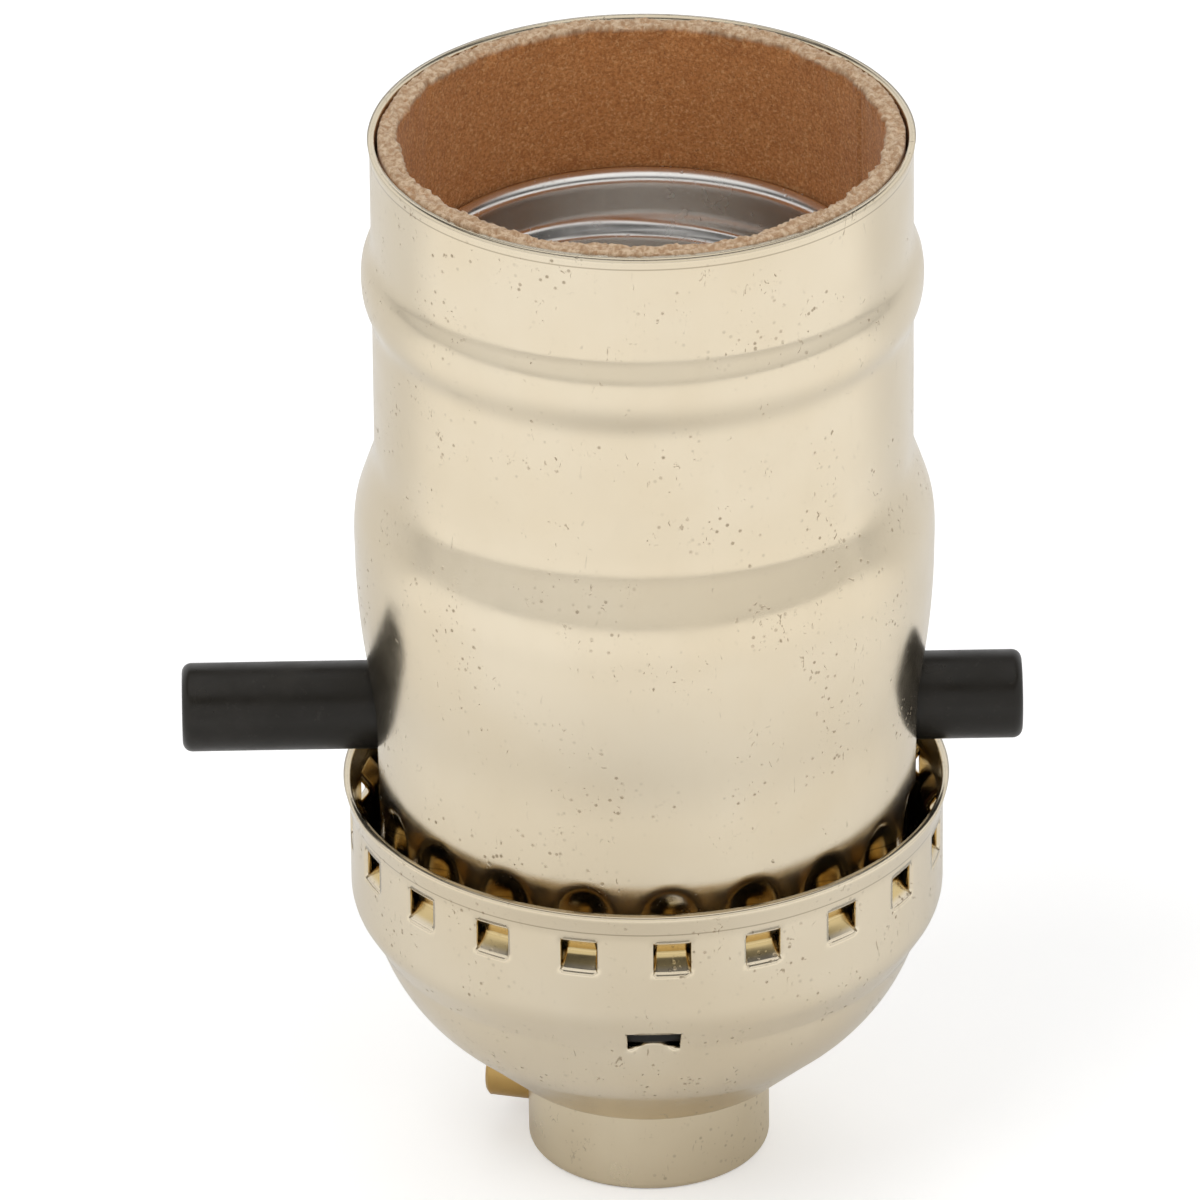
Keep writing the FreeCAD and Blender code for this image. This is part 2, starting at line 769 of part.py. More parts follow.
def make_terminal_screw(label, side):
    """Binding screw with a domed slotted head; side is - at the front and + at the back."""
    body = new_body(label)
    under = "(bay_y + terminal_sheet)"
    top = "(bay_y + terminal_sheet + clamp_head)"
    tip = "(bay_y + terminal_sheet - clamp_length)"
    turn = "-" if side == "-" else ""
    dome = "%s2 * clamp_head_r" % turn
    corners = [
        ("%s%s" % (side, tip), 0),
        ("%s%s" % (side, tip), "clamp_r - screw_edge"),
        ("%s(%s + screw_edge)" % (side, tip), "clamp_r"),
        ("%s%s" % (side, under), "clamp_r"),
        ("%s%s" % (side, under), "clamp_head_r"),
        ("%s(%s + clamp_head / 2)" % (side, under), "clamp_head_r", dome),
        ("%s%s" % (side, top), 0),
    ]
    revolve(body, draw(sketch_on(body, "YZ_Plane", up="clamp_z"), corners), "H_Axis")
    out = top if side == "-" else "-" + top
    face = sketch_on(body, "XZ_Plane", up="clamp_z", out=out)
    slot = box(face, "-clamp_head_r", "-driver_slot / 2", "clamp_head_r", "driver_slot / 2")
    pocket(body, slot, "driver_depth", back=side != "-")


# ---- push bar -------------------------------------------------------------------------------


def make_push_bar():
    """Round bar with a seat for the contact collar and two detent grooves."""
    body = new_body("push_bar")
    end = "bar_length / 2"
    seat_low = "-contact_collar_place - contact_collar_length / 2"
    seat_high = "-contact_collar_place + contact_collar_length / 2"
    seat_r = "bar_r - contact_collar_wall"
    corners = [
        ("-" + end, 0),
        (end, 0),
        (end, "bar_r - bar_edge", "bar_edge"),
        (end + " - bar_edge", "bar_r"),
    ]
    for place in ("detent_x + bar_travel / 2", "detent_x - bar_travel / 2"):
        corners.append((place + " + detent_depth", "bar_r"))
        corners.append((place, "bar_r - detent_depth"))
        corners.append((place + " - detent_depth", "bar_r"))
    corners += [
        (seat_high, "bar_r"),
        (seat_high, seat_r),
        (seat_low, seat_r),
        (seat_low, "bar_r"),
        ("-%s + bar_edge" % end, "bar_r", "bar_edge"),
        ("-" + end, "bar_r - bar_edge"),
    ]
    side = sketch_on(body, "XZ_Plane", up="bar_z", right="-bar_travel / 2")
    revolve(body, draw(side, corners), "H_Axis")


def make_contact_collar():
    """Brass ring let into the bar, which bridges the two leaves when the bar is pushed."""
    body = new_body("contact_collar")
    side = sketch_on(body, "XZ_Plane", up="bar_z", right="-bar_travel / 2 - contact_collar_place")
    half = "contact_collar_length / 2"
    ring = box(side, "-" + half, "bar_r - contact_collar_wall", half, "bar_r")
    revolve(body, ring, "H_Axis")


# ---- switch leaves --------------------------------------------------------------------------


def make_line_leaf():
    """Leaf clamped behind the line terminal, reaching in over the bar."""
    touch = BAR_TOP + " + fit_gap + leaf"
    corners = [
        ("-bay_y", "line_leaf_low_z"),
        ("-bay_y", "line_leaf_high_z - leaf - fit_gap", "-(leaf + fit_gap)"),
        ("-bay_y + leaf + fit_gap", "line_leaf_high_z"),
        ("-bar_r * 0.8", "line_leaf_high_z"),
        ("-bar_r * 0.2", touch),
        ("bar_r * 0.3", touch),
        ("bar_r * 0.6", touch + " + leaf"),
    ]
    strip = folded_strip("line_leaf", SIDEWAYS, corners, "leaf", "line_leaf_width", "-line_leaf_x")
    strip.Label = "line_leaf"
    parts.append(strip)


def make_lamp_leaf():
    """Leaf riveted under the chamber's roof and folded back on to the bar."""
    touch = BAR_TOP + " + fit_gap"
    drop = "((chamber_top_z - %s - leaf) / 2)" % touch
    corners = [
        ("-lamp_leaf_half", "chamber_top_z"),
        ("lamp_leaf_half", "chamber_top_z", "-" + drop),
        ("lamp_leaf_half + " + drop, "chamber_top_z - " + drop, "-" + drop),
        ("lamp_leaf_half", "chamber_top_z - 2 * " + drop),
        ("bar_r * 0.2", touch),
        ("-bar_r * 0.2", touch),
        ("-bar_r * 0.6", touch + " + leaf"),
    ]
    strip = folded_strip("lamp_leaf", SIDEWAYS, corners, "leaf", "lamp_leaf_width")
    pierced("lamp_leaf", strip, "eyelet_r")


def make_detent_leaf():
    """Bent leaf standing on the base plate, its crown under the bar's grooves."""
    top = "bar_z - bar_r - fit_gap"
    post = "detent_x + detent_arc"
    corners = [
        ("-chamber_half_x / 4", PLATE_TOP),
        (post + " - detent_arc", PLATE_TOP, "detent_arc"),
        (post, PLATE_TOP + " + detent_arc"),
        (post, top + " - detent_arc", "detent_arc"),
        ("detent_x", top, "detent_arc"),
        ("detent_x - detent_arc * 0.7", top + " - detent_arc * 0.3"),
        ("detent_x - detent_arc * 1.3", top + " - detent_arc"),
    ]
    strip = folded_strip("detent_leaf", UPRIGHT, corners, "leaf", "detent_width")
    strip.Label = "detent_leaf"
    parts.append(strip)


# ---- screw shell and centre contact ---------------------------------------------------------


def screw_groove(body, low, high, mouth_r, bottom_r):
    """Helical groove of the Edison thread, cut into one side of the wall."""
    profile = sketch_on(body, "XZ_Plane", up=low)
    corners = [
        (mouth_r, "-groove_half"),
        (bottom_r, "-groove_floor_half"),
        (bottom_r, "groove_floor_half"),
        (mouth_r, "groove_half"),
    ]
    groove = body.newObject("PartDesign::SubtractiveHelix", "Groove")
    groove.Profile = draw(profile, corners)
    groove.ReferenceAxis = (profile, ["V_Axis"])
    groove.Mode = "pitch-height-angle"
    bind(groove, "Pitch", "thread_pitch")
    bind(groove, "Height", "(%s) - (%s)" % (high, low))
    groove.LeftHanded = False
    body.Tip = groove
    doc.recompute()


def make_screw_shell():
    """Thin cup with a pierced floor, a rolled Edison thread and a flared rim."""
    body = new_body("screw_shell")
    outer = "thread_root_r"
    neck = "(thread_root_r - thread_wall)"
    crest = "thread_crest_r"
    rim_low = "screw_rim_z - (screw_rim_r - %s)" % neck
    cone_low = "thread_high_z - (%s - %s)" % (neck, crest)
    inner_arc = "(screw_floor_arc - thread_wall)"
    corners = [
        ("screw_hole_r", "body_top_z"),
        (outer + " - screw_floor_arc", "body_top_z", "screw_floor_arc"),
        (outer, "body_top_z + screw_floor_arc"),
        (outer, rim_low, "-(screw_rim_r - thread_root_r)"),
        ("screw_rim_r", "screw_rim_z - thread_wall"),
        ("screw_rim_r", "screw_rim_z", "screw_rim_r - %s" % neck),
        (neck, rim_low),
        (neck, "thread_high_z"),
        (crest, cone_low),
        (crest, "body_top_z + screw_floor_arc", "-" + inner_arc),
        (crest + " - " + inner_arc, "body_top_z + thread_wall"),
        ("screw_hole_r", "body_top_z + thread_wall"),
    ]
    revolve(body, draw(sketch_on(body, "XZ_Plane"), corners), "V_Axis")
    low = "thread_low_z"
    high = "thread_high_z"
    depth = "(thread_depth - run_gap)"
    screw_groove(body, low, high, "thread_crest_r - thread_wall", "thread_crest_r + " + depth)
    low += " - thread_pitch / 2"
    high += " - thread_pitch / 2"
    screw_groove(body, low, high, "thread_root_r + thread_wall", "thread_root_r - " + depth)
    holes = sketch_on(body, "XY_Plane")
    circle(holes, "rivet_place", "rivet_place", "rivet_r")
    circle(holes, "-rivet_place", "-rivet_place", "rivet_r")
    pocket(body, holes, "body_top_z + 2 * thread_wall", back=True)


def make_center_washer():
    """Fibre washer that keeps the centre contact off the screw shell."""
    body = new_body("center_washer")
    disc = sketch_on(body, "XY_Plane")
    bind(disc, ".AttachmentOffset.Base.z", "body_top_z")
    circle(disc, 0, 0, "washer_r")
    circle(disc, 0, 0, "eyelet_r")
    pad(body, disc, "washer_height")


def make_center_contact():
    """Spring tongue folded back over its own eyelet."""
    low = "(body_top_z + washer_height)"
    corners = [
        ("tongue_half", low),
        ("-tongue_half", low, "-tongue_arc"),
        ("-tongue_half - tongue_arc", low + " + tongue_arc", "-tongue_arc"),
        ("-tongue_half", low + " + 2 * tongue_arc"),
        ("tongue_half", low + " + 2 * tongue_arc + tongue_tip_rise"),
    ]
    strip = folded_strip("center_contact", UPRIGHT, corners, "-tongue_sheet", "tongue_width")
    drill = doc.addObject("Part::Cylinder", "center_contact_hole")
    bind(drill, "Radius", "eyelet_r")
    bind(drill, "Height", low + " + tongue_arc")
    contact = doc.addObject("Part::Cut", "center_contact")
    contact.Base = strip
    contact.Tool = drill
    parts.append(contact)
    doc.recompute()


def make_center_rivet():
    """Eyelet through contact, washer, switch body and lamp leaf."""
    body = new_body("center_rivet")
    low = "(chamber_top_z - leaf)"
    high = "(body_top_z + washer_height + tongue_sheet)"
    corners = [
        (0, low + " - eyelet_head"),
        ("eyelet_head_r", low + " - eyelet_head"),
        ("eyelet_head_r", low),
        ("eyelet_r", low),
        ("eyelet_r", high),
        ("eyelet_head_r", high),
        ("eyelet_head_r", high + " + eyelet_head"),
        (0, high + " + eyelet_head"),
    ]
    revolve(body, draw(sketch_on(body, "XZ_Plane"), corners), "V_Axis")


# ---- document -------------------------------------------------------------------------------


def check_and_write():
    doc.recompute()
    for item in doc.Objects:
        if "Invalid" in item.State or "Error" in item.State:
            raise RuntimeError("%s failed: %s" % (item.Name, item.State))
    for item in parts:
        if item.Shape.isNull() or not item.Shape.isValid():
            raise RuntimeError("%s has no valid shape" % item.Label)
    os.makedirs("parts", exist_ok=True)
    for item in parts:
        item.Shape.exportStep("parts/%s.step" % item.Label)


def main():
    fill_sheet()
    make_hub()
    make_set_screw()
    make_cap()
    make_outer_shell()
    make_insulating_sleeve()
    make_base_plate()
    make_switch_body()
    make_assembly_rivets()
    terminal_plate("line_terminal", False)
    make_neutral_terminal()
    make_terminal_screw("line_screw", "-")
    make_terminal_screw("neutral_screw", "")
    make_push_bar()
    make_contact_collar()
    make_line_leaf()
    make_lamp_leaf()
    make_detent_leaf()
    make_screw_shell()
    make_center_washer()
    make_center_contact()
    make_center_rivet()
    check_and_write()


main()
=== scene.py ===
import math

import bpy
import numpy as np
from mathutils import Matrix, Vector


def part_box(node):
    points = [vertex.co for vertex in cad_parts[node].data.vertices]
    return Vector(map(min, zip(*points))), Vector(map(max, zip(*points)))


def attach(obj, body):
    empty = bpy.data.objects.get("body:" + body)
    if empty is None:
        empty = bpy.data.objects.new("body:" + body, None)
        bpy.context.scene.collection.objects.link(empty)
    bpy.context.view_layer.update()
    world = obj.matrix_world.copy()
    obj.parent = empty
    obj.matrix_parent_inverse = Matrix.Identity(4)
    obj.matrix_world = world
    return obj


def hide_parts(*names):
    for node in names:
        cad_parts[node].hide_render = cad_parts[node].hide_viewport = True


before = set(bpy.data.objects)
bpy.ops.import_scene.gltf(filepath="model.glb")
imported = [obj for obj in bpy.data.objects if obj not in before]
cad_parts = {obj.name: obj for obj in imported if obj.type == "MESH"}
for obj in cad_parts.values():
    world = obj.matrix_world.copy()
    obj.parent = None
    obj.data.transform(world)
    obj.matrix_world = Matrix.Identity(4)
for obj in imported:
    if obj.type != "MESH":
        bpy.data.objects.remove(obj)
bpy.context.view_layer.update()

# Sizes in millimetres, as the CAD model has them. Z runs up the axis from the hub's bottom face.
SHEET = 0.4
SHELL_R = 16.55
FOOT_Z, RIM_Z = 18.15, 70.0
BAR_Z, BAR_R = 30.9, 2.75
SLOT_HALF = BAR_R + 0.5
BAR_EDGE = 0.6
BELT_R, LIP_Z = 18.42, 25.9
PITCH_COUNT, PITCH_START = 20, math.radians(3.6)
PITCH = 2 * math.pi / PITCH_COUNT
LANCE_WIDTH, LANCE_Z, LANCE_HALF, LANCE_DEPTH = 2.35, 22.88, 1.1, 0.8
FLUTE_HALF, FLUTE_TOP, FLUTE_DEPTH = 1.8, 26.7, 1.0
SEAT_FOOT, SEAT_LOW, SEAT_HIGH, SEAT_HALF = 12.0, 15.65, 17.3, 1.625
SLEEVE_OUT, SLEEVE_IN, SLEEVE_LOW, SLEEVE_TOP = 16.05, 14.8, 27.8, 70.3
BODY_TOP, SCREW_RIM, SCREW_RIM_R = 38.5, 60.8, 14.3
THREAD_CREST, THREAD_ROOT, THREAD_PITCH, THREAD_WALL = 12.45, 13.6, 3.63, 0.35
THREAD_LOW, THREAD_HIGH, THREAD_DEPTH = 42.6, 58.2, 0.75

# Columns of the cap's grid in one pitch: the lance's cells first, then the plain belt's.
LANCE_CELLS, BELT_CELLS = 8, 12
PITCH_CELLS = LANCE_CELLS + BELT_CELLS
LANCE_ROWS = 15

rng = np.random.default_rng(7)


# ---- meshes ---------------------------------------------------------------------------------


def trace(corners, step, run=2.0):
    """Points (r, z) along corners; a third entry is the radius of the arc to the next corner."""
    spots = [np.array(corners[0][:2], float)]
    for here, there in zip(corners, corners[1:]):
        start, end = np.array(here[:2], float), np.array(there[:2], float)
        chord = end - start
        length = np.hypot(*chord)
        if len(here) < 3:
            count = max(1, round(length / run))
            spots += [start + chord * k / count for k in range(1, count + 1)]
            continue
        radius = here[2]
        left = np.array([-chord[1], chord[0]]) / length
        rise = math.sqrt(max(radius ** 2 - length ** 2 / 4, 0))
        centre = (start + end) / 2 + left * math.copysign(rise, radius)
        first = math.atan2(*(start - centre)[::-1])
        last = math.atan2(*(end - centre)[::-1])
        sweep = (last - first + math.pi) % (2 * math.pi) - math.pi
        count = max(3, round(abs(sweep * radius) / step))
        for k in range(1, count + 1):
            angle = first + sweep * k / count
            spots.append(centre + abs(radius) * np.array([math.cos(angle), math.sin(angle)]))
    return np.array(spots)


def mesh_of(name, co, faces, material):
    """A smooth-shaded object from points in millimetres, without the points that no face uses."""
    data = bpy.data.meshes.new(name)
    used = np.unique(faces)
    lookup = np.zeros(len(co), int)
    lookup[used] = np.arange(len(used))
    data.from_pydata((co[used] / 1000).tolist(), [], lookup[faces].tolist())
    data.polygons.foreach_set("use_smooth", [True] * len(data.polygons))
    data.update()
    piece = bpy.data.objects.new(name, data)
    bpy.context.scene.collection.objects.link(piece)
    data.materials.append(material)
    return piece


def round_grid(r, z, t):
    """Points from grids of radius, height and angle."""
    return np.stack([r * np.cos(t), r * np.sin(t), z], -1).reshape(-1, 3)


def spun(line, angles):
    """Grids of radius, height and angle for a line of points (r, z) turned through the angles."""
    t = angles[None, :] + 0 * line[:, :1]
    return line[:, :1] + 0 * t, line[:, 1:] + 0 * t, t


def grid_faces(rows, columns, keep=None, closed=True):
    """Quads of a grid; it wraps round its columns where closed, and keep says which cells stay."""
    row = np.arange(rows - 1)[:, None]
    column = np.arange(columns if closed else columns - 1)[None, :]
    above = row + 1
    beside = (column + 1) % columns
    quads = np.stack(
        [
            row * columns + column,
            row * columns + beside,
            above * columns + beside,
            above * columns + column,
        ],
        -1,
    )
    if keep is not None:
        quads = quads[keep]
    return quads.reshape(-1, 4)


def middle_of(grid):
    """Values halfway between one row of a grid and the next."""
    return (grid[:-1] + grid[1:]) / 2


def even(count, start=0.0):
    """Angles at even steps round the axis."""
    return start + np.arange(count) * 2 * math.pi / count


def soften(x):
    """Smooth step from 0 at x = 0 to 1 at x = 1."""
    x = np.clip(x, 0, 1)
    return x * x * (3 - 2 * x)


def wave(t, z, seed, scale=1.0):
    """Smooth noise round the axis, about -1 to 1."""
    pick = np.random.default_rng(seed)
    total = 0
    for octave in range(6):
        turns = round(scale * (3 + 4 * octave * octave) + pick.integers(0, 3))
        rise = pick.uniform(-0.4, 0.4) * (1 + octave)
        total = total + np.sin(turns * t + rise * z + pick.uniform(0, 6.28)) / (1 + 0.7 * octave)
    return total / 2.2


def thicken(piece, thickness):
    """Gives a surface a wall of thickness millimetres behind its face."""
    solid = piece.modifiers.new("Solidify", "SOLIDIFY")
    solid.thickness = thickness / 1000
    solid.offset = -1.0
    solid.use_even_offset = True


def arch_gap(y, z):
    """Distance outside the arched slot for the bar; it is negative inside."""
    return np.where(z < BAR_Z, np.abs(y) - SLOT_HALF, np.hypot(y, z - BAR_Z) - SLOT_HALF)


def clear_slots(r, z, t, follow):
    """Moves the grid points inside the bar slots to the slot's edge, and says which cells stay."""
    y = r * np.sin(t)
    gap = arch_gap(y, z)
    after = np.roll(y, -1, 1)
    cell = arch_gap((middle_of(y) + middle_of(after)) / 2, middle_of(z))
    inside = gap < 0
    over = inside & (z >= BAR_Z)
    reach = np.maximum(np.hypot(y, z - BAR_Z), 1e-6)
    new_y = np.where(inside, np.where(z < BAR_Z, np.sign(y) * SLOT_HALF, y / reach * SLOT_HALF), y)
    new_z = np.where(over, BAR_Z + (z - BAR_Z) / reach * SLOT_HALF, z)
    new_r = np.where(over, follow(new_z), r)
    side = np.sign(np.cos(t))
    turn = np.arcsin(np.clip(new_y / new_r, -1, 1))
    new_t = np.where(inside, np.where(side > 0, turn, math.pi - turn), t)
    return new_r, new_z, new_t, cell > 0


# ---- materials ------------------------------------------------------------------------------


class Nodes:
    """Short words for the nodes of one tree, whose textures read the coordinate place."""

    def __init__(self, tree, place):
        self.tree = tree
        self.place = tree.nodes.new("ShaderNodeTexCoord").outputs[place]

    def link(self, start, end):
        self.tree.links.new(start, end)

    def stretch(self, x, y, z):
        node = self.tree.nodes.new("ShaderNodeMapping")
        node.inputs["Scale"].default_value = (x, y, z)
        self.link(self.place, node.inputs["Vector"])
        return node.outputs[0]

    def noise(self, scale, detail=4.0, rough=0.55, at=None, distortion=0.0):
        node = self.tree.nodes.new("ShaderNodeTexNoise")
        node.inputs["Scale"].default_value = scale
        node.inputs["Detail"].default_value = detail
        node.inputs["Roughness"].default_value = rough
        node.inputs["Distortion"].default_value = distortion
        self.link(at or self.place, node.inputs["Vector"])
        return node.outputs[0]

    def cells(self, scale):
        node = self.tree.nodes.new("ShaderNodeTexVoronoi")
        node.inputs["Scale"].default_value = scale
        self.link(self.place, node.inputs["Vector"])
        return node.outputs["Distance"]

    def span(self, value, low, high, to_low=0.0, to_high=1.0):
        node = self.tree.nodes.new("ShaderNodeMapRange")
        node.interpolation_type = "SMOOTHSTEP"
        for index, setting in enumerate((low, high, to_low, to_high), 1):
            node.inputs[index].default_value = setting
        self.link(value, node.inputs[0])
        return node.outputs[0]

    def maths(self, kind, first, second):
        node = self.tree.nodes.new("ShaderNodeMath")
        node.operation = kind
        for index, value in enumerate((first, second)):
            if isinstance(value, (int, float)):
                node.inputs[index].default_value = value
            else:
                self.link(value, node.inputs[index])
        return node.outputs[0]

    def mix(self, share, first, second):
        node = self.tree.nodes.new("ShaderNodeMix")
        node.data_type = "RGBA"
        self.link(share, node.inputs[0])
        for index, value in ((6, first), (7, second)):
            if isinstance(value, tuple):
                node.inputs[index].default_value = (*value, 1)
            else:
                self.link(value, node.inputs[index])
        return node.outputs[2]

    def axes(self):
        node = self.tree.nodes.new("ShaderNodeSeparateXYZ")
        self.link(self.place, node.inputs[0])
        return node.outputs

    def radius(self):
        """Distance from the axis, in metres."""
        node = self.tree.nodes.new("ShaderNodeVectorMath")
        node.operation = "LENGTH"
        self.link(self.stretch(1, 1, 0), node.inputs[0])
        return node.outputs["Value"]

    def height_of(self, low, high):
        """0 at height low and 1 at height high, in metres."""
        return self.span(self.axes()["Z"], low, high)

    def rays(self):
        return self.tree.nodes.new("ShaderNodeLightPath").outputs

    def seen_share(self):
        """1 for what the camera, a reflection or glass sees, and 0 for the light on the object."""
        rays = self.rays()
        share = self.maths("MAXIMUM", rays["Is Camera Ray"], rays["Is Glossy Ray"])
        return self.maths("MAXIMUM", share, rays["Is Transmission Ray"])

    def background(self, level):
        """A background of a grey level, or of the colour that a socket gives."""
        node = self.tree.nodes.new("ShaderNodeBackground")
        if isinstance(level, float):
            node.inputs["Color"].default_value = (level, level, level, 1)
        else:
            self.link(level, node.inputs["Color"])
        return node.outputs[0]

    def mix_shaders(self, share, first, second):
        node = self.tree.nodes.new("ShaderNodeMixShader")
        for socket, value in zip(node.inputs, (share, first, second)):
            self.link(value, socket)
        return node.outputs[0]


class Finish(Nodes):
    """A material: the shader's sockets are set by name, and the rest is linked to it."""

    def __init__(self, name, **sockets):
        self.material = bpy.data.materials.new(name)
        self.material.use_nodes = True
        super().__init__(self.material.node_tree, "Object")
        self.shader = self.tree.nodes["Principled BSDF"]
        for word, value in sockets.items():
            self.shader.inputs[word.replace("_", " ")].default_value = value

    def colour(self, value):
        self.link(value, self.shader.inputs["Base Color"])

    def roughness(self, value):
        self.link(value, self.shader.inputs["Roughness"])

    def bump(self, height, strength, distance):
        node = self.tree.nodes.new("ShaderNodeBump")
        node.inputs["Strength"].default_value = strength
        node.inputs["Distance"].default_value = distance
        self.link(height, node.inputs["Height"])
        earlier = self.shader.inputs["Normal"]
        if earlier.is_linked:
            self.link(earlier.links[0].from_socket, node.inputs["Normal"])
        self.link(node.outputs[0], earlier)


def painted_hollow_shade(made):
    """Painted shade: 1 in the shell's flutes, on the lances and inside the cap's lip, where the
    colour is darkened for the shade in these recesses, and 0 elsewhere.
    """
    radius = made.radius()
    flute = made.span(radius, 0.0159, 0.0167, 1.0, 0.0)
    within = made.span(radius, 0.0180, 0.0183, 1.0, 0.0)
    beyond = made.span(radius, 0.0170, 0.0172)
    ring = made.maths("MULTIPLY", within, beyond)
    foot = made.maths("MULTIPLY", made.height_of(0.0186, 0.0190), made.height_of(0.0276, 0.0262))
    return made.maths("MULTIPLY", made.maths("MAXIMUM", flute, ring), foot)


def hairline(made, low):
    """1 in a thin band round the axis that starts at height low, and 0 elsewhere."""
    start = made.height_of(low, low + 0.00005)
    end = made.height_of(low + 0.00014, low + 0.00009)
    return made.maths("MULTIPLY", start, end)


def sheet_metal(name, tone, deep, fleck, rough, marks=1.0, lines=(), hollow_shade=None):
    """Bright rolled sheet: faint drawing streaks, a tone that drifts, and dark pinprick flecks;
    with the last argument, also painted shade in the pressed recesses.

    lines are the heights of dark hairlines, and the last argument is the darker colour painted into
    the pressed recesses as painted shade.
    """
    made = Finish(name, Metallic=1.0, Roughness=rough)
    drift = made.span(made.noise(70, 3), 0.35, 0.68)
    streak = made.noise(1, 3, 0.6, made.stretch(900, 900, 45))
    base = made.mix(drift, tone, deep)
    base = made.mix(made.span(streak, 0.42, 0.75, 0.0, 0.16), base, deep)
    # Painted shade: the flutes, the lances and the inside of the cap's lip are mixed towards a
    # darker, browner colour.
    if hollow_shade:
        base = made.mix(painted_hollow_shade(made), base, hollow_shade)
    patch = made.span(made.noise(130, 3, 0.6), 0.47, 0.62)
    dots = made.span(made.cells(1500), 0.10, 0.24, 1.0, 0.0)
    pits = made.span(made.noise(1, 2, 0.6, made.stretch(2300, 2300, 1500), 1.5), 0.66, 0.73)
    nicks = made.span(made.noise(1, 2, 0.5, made.stretch(1400, 1400, 420), 2.0), 0.70, 0.76)
    flecks = made.maths("MULTIPLY", dots, patch)
    flecks = made.maths("MAXIMUM", flecks, pits)
    flecks = made.maths("MAXIMUM", flecks, nicks)
    flecks = made.maths("MULTIPLY", flecks, made.span(made.noise(260, 2), 0.42, 0.6, 0.15, 1.0))
    for low in lines:
        base = made.mix(made.maths("MULTIPLY", hairline(made, low), 0.5), base, fleck)
    made.colour(made.mix(made.maths("MULTIPLY", flecks, 0.55 * marks), base, fleck))
    haze = made.span(made.noise(160, 4, 0.65), 0.3, 0.75, rough * 0.8, rough * 1.35)
    made.roughness(made.maths("MAXIMUM", haze, made.maths("MULTIPLY", flecks, 0.55)))
    made.bump(streak, 0.05, 0.00005)
    made.bump(made.noise(210, 3), 0.06, 0.0003)
    made.bump(flecks, 0.3, -0.00003)
    return made.material


def moulded(name, tone, pale, rough, grain=1400, depth=0.12):
    """Pressed resin: a fine grain, paler scuffs and uneven gloss."""
    made = Finish(name, Roughness=rough)
    made.shader.inputs["Specular IOR Level"].default_value = 0.28
    cloud = made.span(made.noise(220, 5, 0.65), 0.42, 0.72)
    dust = made.span(made.noise(grain, 3, 0.7), 0.6, 0.74)
    base = made.mix(made.maths("MULTIPLY", cloud, 0.35), tone, pale)
    made.colour(made.mix(made.maths("MULTIPLY", dust, 0.5), base, pale))
    made.roughness(made.span(made.noise(320, 4), 0.3, 0.7, rough * 0.8, min(1.0, rough * 1.3)))
    made.bump(made.noise(grain, 4, 0.6), depth, 0.0001)
    return made.material


def kraft_paper():
    """Brown paper tube: flowing fibres, pale and dark specks, and a torn furry edge on top."""
    made = Finish("kraft_paper", Roughness=0.88)
    made.shader.inputs["Specular IOR Level"].default_value = 0.2
    made.shader.inputs["Sheen Weight"].default_value = 0.15
    warm, deep = (0.60, 0.27, 0.095), (0.50, 0.20, 0.062)
    pale, dark, shade = (0.78, 0.45, 0.20), (0.22, 0.08, 0.026), (0.33, 0.12, 0.034)
    grain = made.noise(1, 6, 0.7, made.stretch(520, 520, 1100), 0.6)
    fibre = made.noise(1, 5, 0.75, made.stretch(1500, 1500, 420), 1.2)
    base = made.mix(made.span(grain, 0.30, 0.70, 0.25, 1.0), deep, warm)
    base = made.mix(made.span(fibre, 0.58, 0.75, 0.0, 0.5), base, pale)
    base = made.mix(made.span(made.noise(2600, 2, 0.6), 0.64, 0.72, 0.0, 0.7), base, dark)
    base = made.mix(made.span(made.noise(5200, 3, 0.7), 0.38, 0.60, 0.75, 0.0), base, shade)
    base = made.mix(made.span(made.noise(4300, 3, 0.7), 0.52, 0.68, 0.0, 0.6), base, pale)
    layers = made.noise(1, 5, 0.75, made.stretch(2200, 2200, 500))
    torn = made.mix(made.span(layers, 0.38, 0.64), (0.40, 0.24, 0.13), (0.66, 0.50, 0.34))
    top = made.height_of(0.0696, 0.0700)
    made.colour(made.mix(top, base, torn))
    made.bump(grain, 0.25, 0.0003)
    made.bump(fibre, 0.35, 0.0002)
    return made.material


PALE = (0.785, 0.69, 0.53)
DEEP = (0.75, 0.645, 0.475)
FLECK = (0.22, 0.155, 0.085)
# A darker, browner colour painted into the pressed recesses as painted shade.
HOLLOW_SHADE = (0.70, 0.54, 0.27)
shell_brass = sheet_metal("shell_brass", PALE, DEEP, FLECK, 0.20, 1.0, (0.0692, 0.0245), HOLLOW_SHADE)
hub_brass = sheet_metal("hub_brass", (0.80, 0.705, 0.53), (0.73, 0.63, 0.46), FLECK, 0.33, 0.6)
screw_brass = sheet_metal("screw_brass", (0.55, 0.36, 0.13), (0.42, 0.26, 0.09), FLECK, 0.3)
contact_brass = sheet_metal("contact_brass", (0.72, 0.52, 0.22), (0.6, 0.42, 0.17), FLECK, 0.25)
SILVER, SILVER_DEEP, SILVER_FLECK = (0.94, 0.92, 0.89), (0.88, 0.86, 0.82), (0.3, 0.28, 0.25)
bright_metal = sheet_metal("bright_metal", SILVER, SILVER_DEEP, SILVER_FLECK, 0.22, 0.4)
STEEL, STEEL_DEEP, STEEL_FLECK = (0.56, 0.55, 0.53), (0.46, 0.45, 0.43), (0.1, 0.09, 0.08)
spring_metal = sheet_metal("spring_metal", STEEL, STEEL_DEEP, STEEL_FLECK, 0.28)
paper = kraft_paper()
fibre_board = moulded("fibre_board", (0.16, 0.15, 0.14), (0.28, 0.26, 0.24), 0.8, 900, 0.3)
brown_resin = moulded("brown_resin", (0.075, 0.028, 0.014), (0.13, 0.06, 0.035), 0.42)
black_resin = moulded("black_resin", (0.014, 0.012, 0.009), (0.034, 0.030, 0.025), 0.33, 1800, 0.1)


# ---- outer shell ----------------------------------------------------------------------------

